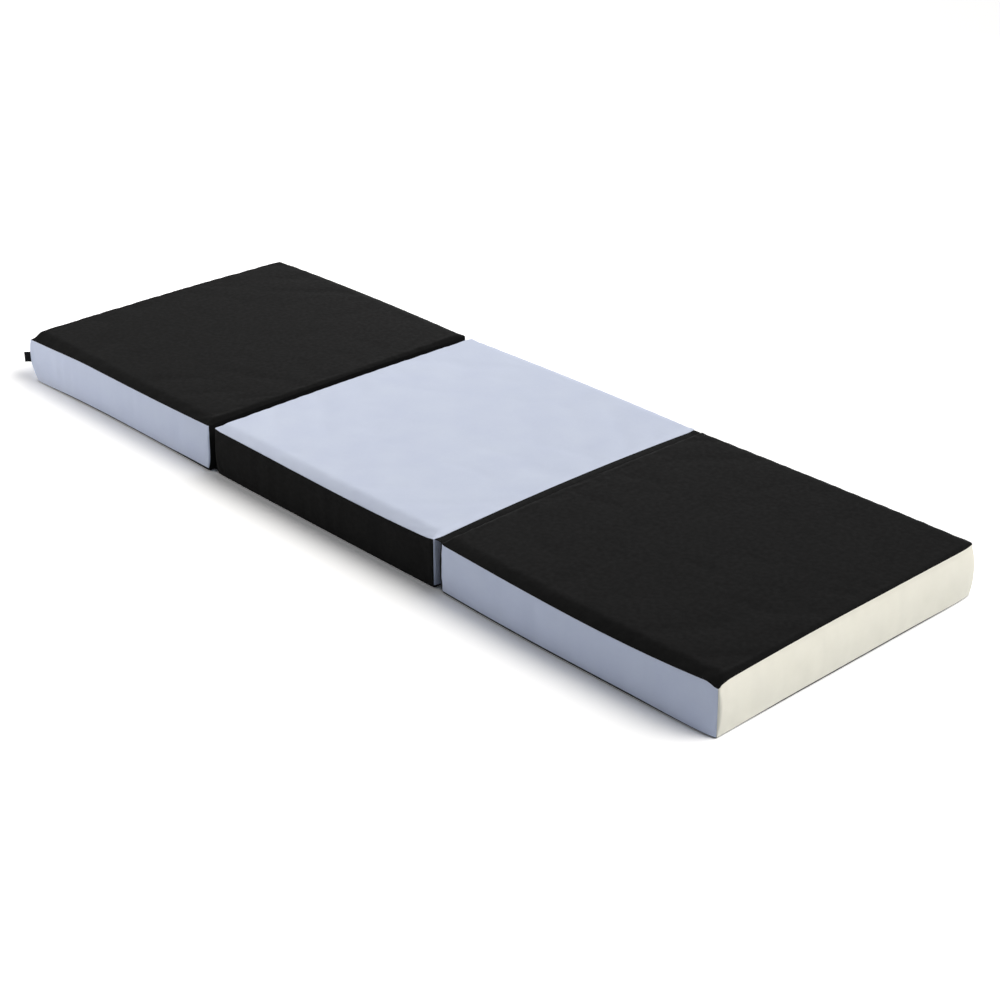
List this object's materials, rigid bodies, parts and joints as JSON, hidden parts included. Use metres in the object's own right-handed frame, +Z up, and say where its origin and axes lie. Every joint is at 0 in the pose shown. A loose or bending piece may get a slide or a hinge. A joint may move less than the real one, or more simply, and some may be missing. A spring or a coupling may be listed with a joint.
{
  "type": "folding mattress",
  "caption": "Flat guest mattress of square foam sections in boxed canvas covers, hinged so that it zigzags into a low seat.",
  "frame": {"origin": "on the floor under the middle of the middle section, which is the bottom centre of the bounding box to within 9 mm; the left end's bulge, the label and the zip pulls make the difference", "axes": "+X along the length from the left section to the right one, +Y to the back, where the zips are, +Z up out of the lying surface"},
  "size_m": [1.9569, 0.691, 0.104],
  "materials": {
    "black_canvas": "plain-woven cotton canvas dyed black, matt",
    "lavender_canvas": "plain-woven cotton canvas dyed pale lavender blue, matt",
    "cream_canvas": "plain-woven cotton canvas, undyed cream, matt",
    "polyether_foam": "cut polyether foam block, open fine cells",
    "zip_tape": "woven polyester zip tape, black",
    "nylon_coil": "closed nylon coil, black, satin",
    "painted_zinc": "die-cast zinc, black enamel, satin",
    "black_tape": "folded woven satin tape, black, blank"
  },
  "bodies": {
    "left_section": {"left_foam_core": "polyether_foam", "left_top_panel": "black_canvas", "left_bottom_panel": "black_canvas", "left_front_side": "lavender_canvas", "left_back_side_upper": "lavender_canvas", "left_back_side_lower": "lavender_canvas", "left_left_end": "lavender_canvas", "left_right_end": "black_canvas", "left_zip_tape_upper": "zip_tape", "left_zip_tape_lower": "zip_tape", "left_zip_coil": "nylon_coil", "left_zip_top_stop": "painted_zinc", "left_zip_bottom_stop": "painted_zinc", "left_side_label": "black_tape"},
    "left_zip_slider": {"left_zip_slider": "painted_zinc"},
    "left_zip_pull": {"left_zip_pull": "painted_zinc"},
    "middle_section": {"middle_foam_core": "polyether_foam", "middle_top_panel": "lavender_canvas", "middle_bottom_panel": "black_canvas", "middle_front_side": "black_canvas", "middle_back_side_upper": "black_canvas", "middle_back_side_lower": "black_canvas", "middle_left_end": "lavender_canvas", "middle_right_end": "lavender_canvas", "middle_zip_tape_upper": "zip_tape", "middle_zip_tape_lower": "zip_tape", "middle_zip_coil": "nylon_coil", "middle_zip_top_stop": "painted_zinc", "middle_zip_bottom_stop": "painted_zinc", "lower_hinge_strip": "black_canvas", "upper_hinge_strip": "black_canvas"},
    "middle_zip_slider": {"middle_zip_slider": "painted_zinc"},
    "middle_zip_pull": {"middle_zip_pull": "painted_zinc"},
    "right_section": {"right_foam_core": "polyether_foam", "right_top_panel": "black_canvas", "right_bottom_panel": "black_canvas", "right_front_side": "lavender_canvas", "right_back_side_upper": "lavender_canvas", "right_back_side_lower": "lavender_canvas", "right_left_end": "black_canvas", "right_right_end": "cream_canvas", "right_zip_tape_upper": "zip_tape", "right_zip_tape_lower": "zip_tape", "right_zip_coil": "nylon_coil", "right_zip_top_stop": "painted_zinc", "right_zip_bottom_stop": "painted_zinc"},
    "right_zip_slider": {"right_zip_slider": "painted_zinc"},
    "right_zip_pull": {"right_zip_pull": "painted_zinc"}
  },
  "joints": [
    {"name": "lower_fold", "type": "hinge", "parent": "middle_section", "child": "left_section", "pos_m": [-0.3265, 0, -0.00015], "axis": [0, -1, 0], "range_deg": [0, 180]},
    {"name": "upper_fold", "type": "hinge", "parent": "middle_section", "child": "right_section", "pos_m": [0.3265, 0, 0.10415], "axis": [0, -1, 0], "range_deg": [0, 180]},
    {"name": "left_zip_slide", "type": "slide", "parent": "left_section", "child": "left_zip_slider", "axis": [1, 0, 0], "range_m": [0, 0.549]},
    {"name": "left_pull_swing", "type": "hinge", "parent": "left_zip_slider", "child": "left_zip_pull", "pos_m": [-0.9275, 0.33944, 0.0495], "axis": [0, 0, 1], "range_deg": [0, 180]},
    {"name": "middle_zip_slide", "type": "slide", "parent": "middle_section", "child": "middle_zip_slider", "axis": [1, 0, 0], "range_m": [0, 0.549]},
    {"name": "middle_pull_swing", "type": "hinge", "parent": "middle_zip_slider", "child": "middle_zip_pull", "pos_m": [-0.2745, 0.33944, 0.0495], "axis": [0, 0, 1], "range_deg": [0, 180]},
    {"name": "right_zip_slide", "type": "slide", "parent": "right_section", "child": "right_zip_slider", "axis": [1, 0, 0], "range_m": [0, 0.549]},
    {"name": "right_pull_swing", "type": "hinge", "parent": "right_zip_slider", "child": "right_zip_pull", "pos_m": [0.3785, 0.33944, 0.0495], "axis": [0, 0, 1], "range_deg": [0, 180]}
  ]
}
